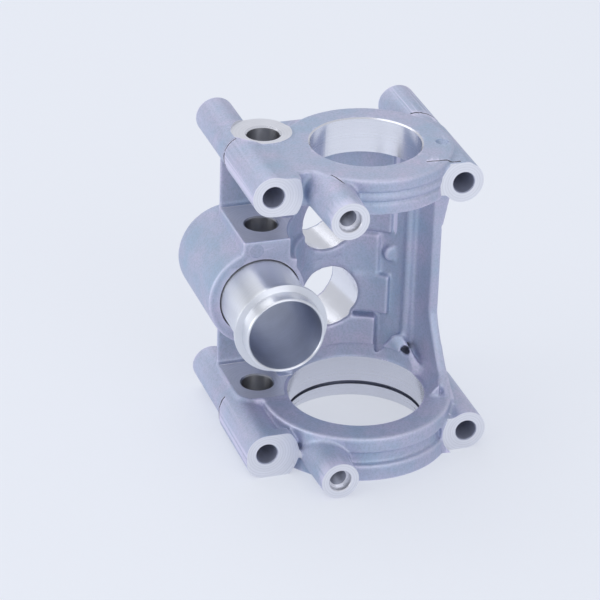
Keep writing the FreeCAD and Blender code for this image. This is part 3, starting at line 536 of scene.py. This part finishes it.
class HolderLook(bpy.types.PropertyGroup):
    cast_colour: bpy.props.FloatVectorProperty(
        name="Cast colour", description="Colour of the as-cast skin",
        subtype="COLOR", size=3, min=0, max=1, default=(0.54, 0.57, 0.71))
    machined_colour: bpy.props.FloatVectorProperty(
        name="Machined colour", description="Colour of the machined faces and bores",
        subtype="COLOR", size=3, min=0, max=1, default=(0.86, 0.87, 0.93))
    tube_colour: bpy.props.FloatVectorProperty(
        name="Tube colour", description="Colour of the turned plug tube",
        subtype="COLOR", size=3, min=0, max=1, default=(0.86, 0.88, 0.93))
    floor_colour: bpy.props.FloatVectorProperty(
        name="Floor colour", description="Colour of the floor",
        subtype="COLOR", size=3, min=0, max=1, default=(0.82, 0.85, 0.92))


class HolderSizes(bpy.types.PropertyGroup):
    grain: bpy.props.FloatProperty(
        name="Skin resolution", description="Cell size in which the cast skin is formed",
        subtype="DISTANCE", unit="LENGTH", default=0.00048, min=0.0002, max=0.002)
    blend: bpy.props.IntProperty(
        name="Fillet passes", description="Smoothing passes that round the casting's edges",
        default=18, min=1, max=60)
    allowance: bpy.props.FloatProperty(
        name="Machining allowance", description="Stock left on the casting where it is machined",
        subtype="DISTANCE", unit="LENGTH", default=0.0015, min=0.0, max=0.005)


# Pieces

class HOLDER_OT_casting(bpy.types.Operator):
    """Form the die-cast body with its rounded skin and machine its faces and bores"""
    bl_idname = "holder.casting"
    bl_label = "Casting"

    def execute(self, context):
        looks = finishes()
        skin = self.rough_casting(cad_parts["holder_casting"], context.scene.holder_sizes)
        skin.data.materials.clear()
        skin.data.materials.append(looks["cast_skin"])
        self.machine(skin, self.facing_tools(looks))
        self.machine(skin, self.bolt_drills(looks))
        self.machine(skin, self.boring_tools(looks))
        self.machine(skin, self.last_cuts(looks, skin))
        only(skin)
        bpy.ops.object.shade_smooth_by_angle(angle=CRISP_ANGLE)
        finish_with(skin, "WEIGHTED_NORMAL", mode="FACE_AREA", keep_sharp=True)
        if len(skin.data.polygons) < SKIN_TRIANGLES / 16:
            raise RuntimeError("the casting was lost in machining")
        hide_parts("holder_casting")
        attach(skin, "root")
        return {"FINISHED"}

    def machine(self, skin, tools):
        """Cut the tools out of the skin; each cut face takes its tool's finish.

        No two tools of one pass touch each other, as the cutter has to be a clean closed form.
        """
        cutter = joined(tools, "holder_cutter")
        finish_with(skin, "BOOLEAN", operation="DIFFERENCE", object=cutter, solver="MANIFOLD",
                    material_mode="TRANSFER")
        bpy.data.objects.remove(cutter)

    def rough_casting(self, source, sizes):
        """Copy of the casting with stock on its machined faces and with rounded edges."""
        only(source)
        bpy.ops.object.duplicate()
        skin = bpy.context.object
        skin.name = "holder_body"
        skin.data.name = "holder_body"
        skin.parent = None
        for key in list(skin.keys()):
            del skin[key]
        only(skin)
        bpy.ops.object.mode_set(mode="EDIT")
        bpy.ops.mesh.select_all(action="SELECT")
        bpy.ops.mesh.remove_doubles(threshold=1e-6)
        bpy.ops.object.mode_set(mode="OBJECT")
        for axis, level, way in (("y", BOLT_FACE, -1), ("y", COVER_FACE, -1), ("y", HEAD_FACE, 1),
                                 ("z", PAD_FACE - SEAT_CENTRE, 1), ("z", -SEAT_CENTRE, -1)):
            self.add_stock(skin, Vector([way * (name == axis) for name in "xyz"]),
                           level * way * MM, sizes.allowance)
        skin = joined([skin, *self.bore_plugs(), self.root_wedge()], "holder_body")
        finish_with(skin, "REMESH", mode="VOXEL", voxel_size=sizes.grain, adaptivity=0)
        finish_with(skin, "SMOOTH", factor=0.5, iterations=sizes.blend)
        finish_with(skin, "DECIMATE", ratio=SKIN_TRIANGLES / (2 * len(skin.data.polygons)))
        return skin

    def add_stock(self, skin, normal, level, allowance):
        """Raise the flat faces that look along the normal at one level."""
        choose(skin, "FACE", lambda face: face.normal.dot(normal) > 0.999
               and abs(face.center.dot(normal) - level) < 0.02 * MM)
        bpy.ops.mesh.extrude_region_move(TRANSFORM_OT_translate={"value": normal * allowance})
        leave_edit()

    def bore_plugs(self):
        """Stock in the bores and holes, so that their walls come from the tools alone."""
        plugs = [rod((0, 0, 98.2), (0, 0, RING_TOP), 19.4), rod((0, 0, 0.0), (0, 0, 16.0), 24.3)]
        for low, high in ((98, PAD_FACE), (70.5, 77.2), (36, 42.5), (0.5, 16.4)):
            plugs.append(rod((*SHAFT, low), (*SHAFT, high), 6.2))
        for x, height in BOLTS:
            plugs.append(rod((x, BOLT_FACE, height), (x, HEAD_FACE, height), 4.3))
        for x, height in COVER_SCREWS:
            plugs.append(rod((x, COVER_FACE, height), (x, COVER_FACE + 18, height), 4.6))
        x, height = TUBE
        plugs.append(rod((x, BARREL_FACE, height), (x, BARREL_FACE + 3, height), 15.8))
        return plugs

    def root_wedge(self):
        """Slope that leads the upper left bolt boss over into the plate beside it."""
        side, crest = -28.6, 111.3
        wedge = block((-38.2, BOLT_FACE + 0.2, 106), (side, 4.5, crest))
        corner = spot(side, 0, crest)
        choose(wedge, "VERT", lambda point: abs(point.co.x - corner.x) < 1e-5
               and abs(point.co.z - corner.z) < 1e-5)
        bpy.ops.transform.translate(value=(0, 0, (RING_TOP - 0.1 - crest) * MM))
        leave_edit()
        return wedge

    def facing_tools(self, looks):
        """Mills for the boss faces, the upper shaft pad and the pin mark beneath it."""
        faced = looks["faced_boss"]
        tools = []
        for x, height in BOLTS:
            tools.append(rod((x, HEAD_FACE, height), (x, HEAD_FACE + 6, height), 8.0, faced))
            if x > 0:
                tools.append(rod((x, BOLT_FACE - 6, height), (x, BOLT_FACE, height), 9.0, faced))
            else:
                tools.append(block((-50, BOLT_FACE - 6, height - 10),
                                   (-26.5, BOLT_FACE, height + 10), faced))
        for x, height in COVER_SCREWS:
            tools.append(rod((x, COVER_FACE - 6, height), (x, COVER_FACE, height), 8.5, faced))
        tools.append(rod((*UPPER_PAD, PAD_FACE), (*UPPER_PAD, PAD_FACE + 6), 10.2,
                         looks["milled_pad"]))
        x, height = PIN_MARK
        tools.append(rod((x, BARREL_FACE - 3, height), (x, BARREL_FACE + 0.16, height), 2.4,
                         looks["cast_skin"], sides=40))
        return tools

    def bolt_drills(self, looks):
        """Drills for the bolt holes, the cut of the underside and the inner skim of two pads."""
        faced = looks["faced_boss"]
        bolt_drill = ((4.6, -1.0), (BOLT_HOLE, 0.35), (BOLT_HOLE, HEAD_FACE - BOLT_FACE + 7))
        tools = [lathe(bolt_drill, spot(x, BOLT_FACE, height), (0, 1, 0),
                       looks["drilled_hole"], sides=64) for x, height in BOLTS]
        for x, height in COVER_SCREWS:
            tools.append(lathe(((4.9, -1.0), (COVER_MOUTH, 0.3), (COVER_MOUTH, 2.8)),
                               spot(x, COVER_FACE, height), (0, 1, 0), faced, sides=48))
        tools.append(lathe(((4.6, -1.5), (6.9, 0.8)), spot(*SHAFT, PAD_FACE), (0, 0, 1),
                           looks["bored_seat"]))
        tools.append(block((-60, -60, -6), (60, 60, 0), faced))
        for level in (MIDDLE_PAD, LOWER_PAD):
            tools.append(block((-22.7, -5, level - SKIM), (-12, 15.8, level + 3),
                               looks["milled_pad"]))
        return tools

    def boring_tools(self, looks):
        """Boring bars and taps for the seats, the shaft and lifter bores and the tapped holes."""
        seat = looks["bored_seat"]
        thread = [(THREAD_CORE, 2.0)]
        thread += [(THREAD_CORE + THREAD_DEPTH * (step % 2),
                    THREAD_START + THREAD_HALF_PITCH * step) for step in range(1, THREAD_STEPS)]
        tools = [lathe(thread, spot(x, COVER_FACE, height), (0, 1, 0),
                       looks["tapped_hole"], sides=40) for x, height in COVER_SCREWS]
        centre = spot(0, 0, 0)
        for bar in (((SMALL_SEAT, 95), (SMALL_SEAT, 109.9), (19.0, RING_TOP), (21.0, 112.3)),
                    ((26.3, -1.0), (LARGE_SEAT, 3.6), (LARGE_SEAT, 17.0))):
            tools.append(lathe(bar, centre, (0, 0, 1), seat))
        for start, pad, end in ((71.4, MIDDLE_PAD, PAD_FACE + 3), (-2, LOWER_PAD, 41.6)):
            bar = ((SHAFT_BORE, start), (SHAFT_BORE, pad - 0.5), (SHAFT_BORE_MOUTH, pad + 0.1),
                   (SHAFT_BORE, pad + 2), (SHAFT_BORE, end))
            tools.append(lathe(bar, spot(*SHAFT, 0), (0, 0, 1), looks["reamed_bore"]))
        across = Vector((-math.sin(LIFTER_TILT), math.cos(LIFTER_TILT)))
        for height in LIFTERS:
            tools.append(rod((*across * 19.0, height), (*across * 45.0, height), LIFTER_BORE,
                             looks["lifter_bore"], sides=96))
        x, height = TUBE
        tools.append(lathe(TUBE_SEAT, spot(x, 0, height), (0, 1, 0), seat))
        tools.append(rod(*OIL_HOLE, OIL_BORE, looks["tapped_hole"], sides=32))
        return tools

    def last_cuts(self, looks, skin):
        """Light skim of two shaft pads, circlip groove, trimmed parting burrs and one dent."""
        tools = [block((-46, -5, level - SKIM), (-22.6, 28.9, level + 5), looks["milled_pad"])
                 for level in (MIDDLE_PAD, LOWER_PAD)]
        radius, low, high = GROOVE
        # The circlip groove takes the tapped holes' dark finish: painted shade in the groove.
        tools.append(lathe(((radius, low), (radius, high)), spot(0, 0, 0), (0, 0, 1),
                           looks["tapped_hole"]))
        marks = self.burr_marks(skin)
        self.refine_near(skin, [point for line, radius in marks for point in line])
        for line, radius in marks:
            tools.append(wire(line, radius, looks["parting_burr"]))
        tools.append(self.dent(looks))
        return tools

    def burr_marks(self, skin):
        """Lines on the skin where the parting burrs were trimmed, each with its bar radius."""
        draw = random.Random(BURR_SEED)
        marks = []
        for x, height, depth, drift, start, end, radius in BURR_ARCS:
            line = []
            for step in range(BURR_STEPS + 1):
                share = step / BURR_STEPS
                angle = math.radians(start + (end - start) * share)
                out = Vector((math.cos(angle), 0, math.sin(angle)))
                along = depth + drift * share + draw.uniform(-ARC_WANDER, ARC_WANDER)
                line.append(laid_on(skin, spot(x, along, height) + out * RAY_START * MM, -out))
            marks.append((line, radius))
        for points, level, radius in BURR_LINES:
            line = []
            for x, y in points:
                y += draw.uniform(-LINE_WANDER, LINE_WANDER)
                line.append(laid_on(skin, spot(x, y, level + 8), Vector((0, 0, -1))))
            marks.append((line, radius))
        return marks

    def refine_near(self, skin, points):
        """Smaller facets round the marks, so that light stays even on the flat skin beside them."""
        choose(skin, "FACE", lambda face: face.area > FLAT_FACET and face.material_index == 0
               and min((face.center - point).length for point in points) < MARK_REACH)
        bpy.ops.mesh.subdivide(number_cuts=4)
        bpy.ops.mesh.quads_convert_to_tris()
        leave_edit()

    def dent(self, looks):
        """Rough ball that leaves a shallow dent in the upper right plate."""
        nothing_selected()
        bpy.ops.mesh.primitive_ico_sphere_add(subdivisions=2, radius=DENT_RADIUS * MM,
                                              location=spot(*DENT, UPPER_PLATE + DENT_RISE))
        ball = bpy.context.object
        bpy.ops.object.mode_set(mode="EDIT")
        bpy.ops.transform.vertex_random(offset=0.25 * MM, seed=3)
        bpy.ops.object.mode_set(mode="OBJECT")
        return finished(ball, looks["cast_skin"])


class HOLDER_OT_tube(bpy.types.Operator):
    """Turn the bright plug tube with its collar and its seal seat"""
    bl_idname = "holder.tube"
    bl_label = "Plug tube"

    def execute(self, context):
        looks = finishes()
        x, height = TUBE
        axis = spot(x, 0, height)
        tube = lathe([(radius, -far) for radius, far in TUBE_OUTLINE], axis, (0, -1, 0),
                     looks["turned_tube"], sides=128, closed=False)
        only(tube)
        bpy.ops.object.mode_set(mode="EDIT")
        bpy.ops.mesh.select_all(action="DESELECT")
        bpy.ops.mesh.select_non_manifold()
        bpy.ops.mesh.bridge_edge_loops()
        outwards()
        finish_with(tube, "BEVEL", width=TUBE_EDGE, segments=3, limit_method="ANGLE",
                    angle_limit=math.radians(30))
        tube.data.materials.append(looks["tube_bore"])
        for face in tube.data.polygons:
            if math.hypot(face.center.x - axis.x, face.center.z - axis.z) < TUBE_INSIDE * MM:
                face.material_index = 1
        tube.name = "plug_tube_turned"
        only(tube)
        bpy.ops.object.shade_smooth_by_angle(angle=math.radians(35))
        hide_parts("plug_tube")
        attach(tube, "root")
        return {"FINISHED"}


class HOLDER_OT_stage(bpy.types.Operator):
    """Set the pale floor, the soft studio light and the camera"""
    bl_idname = "holder.stage"
    bl_label = "Stage"

    def execute(self, context):
        self.floor(context)
        self.light(context)
        self.camera(context)
        context.scene.view_settings.view_transform = "Standard"
        return {"FINISHED"}

    def floor(self, context):
        """Matt floor that also has a painted glow, seen by the camera and in reflections on the
        metal.
        """
        nothing_selected()
        bpy.ops.mesh.primitive_plane_add(size=6.0, location=spot(0, 0, 0))
        floor = bpy.context.object
        floor.name = "studio_floor"
        made = material("pale_floor")
        tree = made.node_tree
        colour = (*context.scene.holder_look.floor_colour, 1)
        out = node(tree, "ShaderNodeOutputMaterial", (600, 0))
        shader = node(tree, "ShaderNodeBsdfPrincipled", (0, 0))
        shader.inputs["Base Color"].default_value = colour
        shader.inputs["Roughness"].default_value = 0.9
        shader.inputs["Specular IOR Level"].default_value = 0.1
        # Emission of the floor colour: painted glow that lights the reflections on the metal.
        painted_glow = node(tree, "ShaderNodeEmission", (0, -400))
        painted_glow.inputs["Color"].default_value = colour
        ray = node(tree, "ShaderNodeLightPath", (-600, 300)).outputs
        seen = math_node(tree, (-300, 300), "MULTIPLY", ray["Is Camera Ray"], FLOOR_GLOW)
        mirrored = math_node(tree, (-300, 100), "MULTIPLY", ray["Is Glossy Ray"], FLOOR_MIRRORED)
        both = node(tree, "ShaderNodeMixShader", (300, 0))
        tree.links.new(math_node(tree, (0, 300), "MAXIMUM", seen, mirrored), both.inputs["Fac"])
        tree.links.new(shader.outputs["BSDF"], both.inputs[1])
        tree.links.new(painted_glow.outputs["Emission"], both.inputs[2])
        tree.links.new(both.outputs["Shader"], out.inputs["Surface"])
        finished(floor, made)

    def light(self, context):
        world = bpy.data.worlds.new("studio")
        context.scene.world = world
        world.use_nodes = True
        back = world.node_tree.nodes["Background"]
        back.inputs["Color"].default_value = (*WORLD_COLOUR, 1)
        back.inputs["Strength"].default_value = WORLD_STRENGTH
        for name, place, size, power in PANELS:
            lamp = bpy.data.lights.new(name, "AREA")
            lamp.energy = power
            lamp.size = size
            holder = bpy.data.objects.new(name, lamp)
            context.scene.collection.objects.link(holder)
            holder.location = place
            aim = spot(0, 0, PANEL_AIM) - Vector(place)
            holder.rotation_euler = aim.to_track_quat("-Z", "Y").to_euler()

    def camera(self, context):
        azimuth, elevation, roll = (math.radians(a) for a in CAMERA_ANGLES)
        back = Vector((math.sin(azimuth) * math.cos(elevation),
                       -math.cos(azimuth) * math.cos(elevation), math.sin(elevation)))
        level = Vector((math.cos(azimuth), math.sin(azimuth), 0))
        rise = back.cross(level)
        right = math.cos(roll) * level + math.sin(roll) * rise
        up = -math.sin(roll) * level + math.cos(roll) * rise
        eye = right * CAMERA_ASIDE + up * CAMERA_ABOVE + back * CAMERA_BACK
        lens = bpy.data.cameras.new("photo_camera")
        lens.sensor_width = SENSOR_WIDTH
        lens.lens = SENSOR_WIDTH * FOCAL_PIXELS / PHOTO_WIDTH
        lens.clip_start = 0.05
        lens.clip_end = 20.0
        seer = bpy.data.objects.new("photo_camera", lens)
        context.scene.collection.objects.link(seer)
        turn = Matrix((right, up, back)).transposed()
        place = spot(eye.x, eye.y + BOLT_FACE, eye.z)
        seer.matrix_world = Matrix.Translation(place) @ turn.to_4x4()
        context.scene.camera = seer


class HOLDER_PT_panel(bpy.types.Panel):
    bl_idname = "HOLDER_PT_panel"
    bl_label = "Camshaft holder"
    bl_space_type = "VIEW_3D"
    bl_region_type = "UI"
    bl_category = "Holder"

    def draw(self, context):
        layout = self.layout
        for settings in (context.scene.holder_look, context.scene.holder_sizes):
            for name in settings.__annotations__:
                layout.prop(settings, name)
        for piece in PIECES:
            layout.operator(piece.bl_idname)


PIECES = (HOLDER_OT_casting, HOLDER_OT_tube, HOLDER_OT_stage)
CLASSES = (HolderLook, HolderSizes, *PIECES, HOLDER_PT_panel)


def register():
    for made in CLASSES:
        bpy.utils.register_class(made)
    bpy.types.Scene.holder_look = bpy.props.PointerProperty(type=HolderLook)
    bpy.types.Scene.holder_sizes = bpy.props.PointerProperty(type=HolderSizes)


def unregister():
    del bpy.types.Scene.holder_look
    del bpy.types.Scene.holder_sizes
    for made in reversed(CLASSES):
        bpy.utils.unregister_class(made)


def main():
    register()
    bpy.ops.holder.casting()
    bpy.ops.holder.tube()
    bpy.ops.holder.stage()


if __name__ == "__main__":
    main()
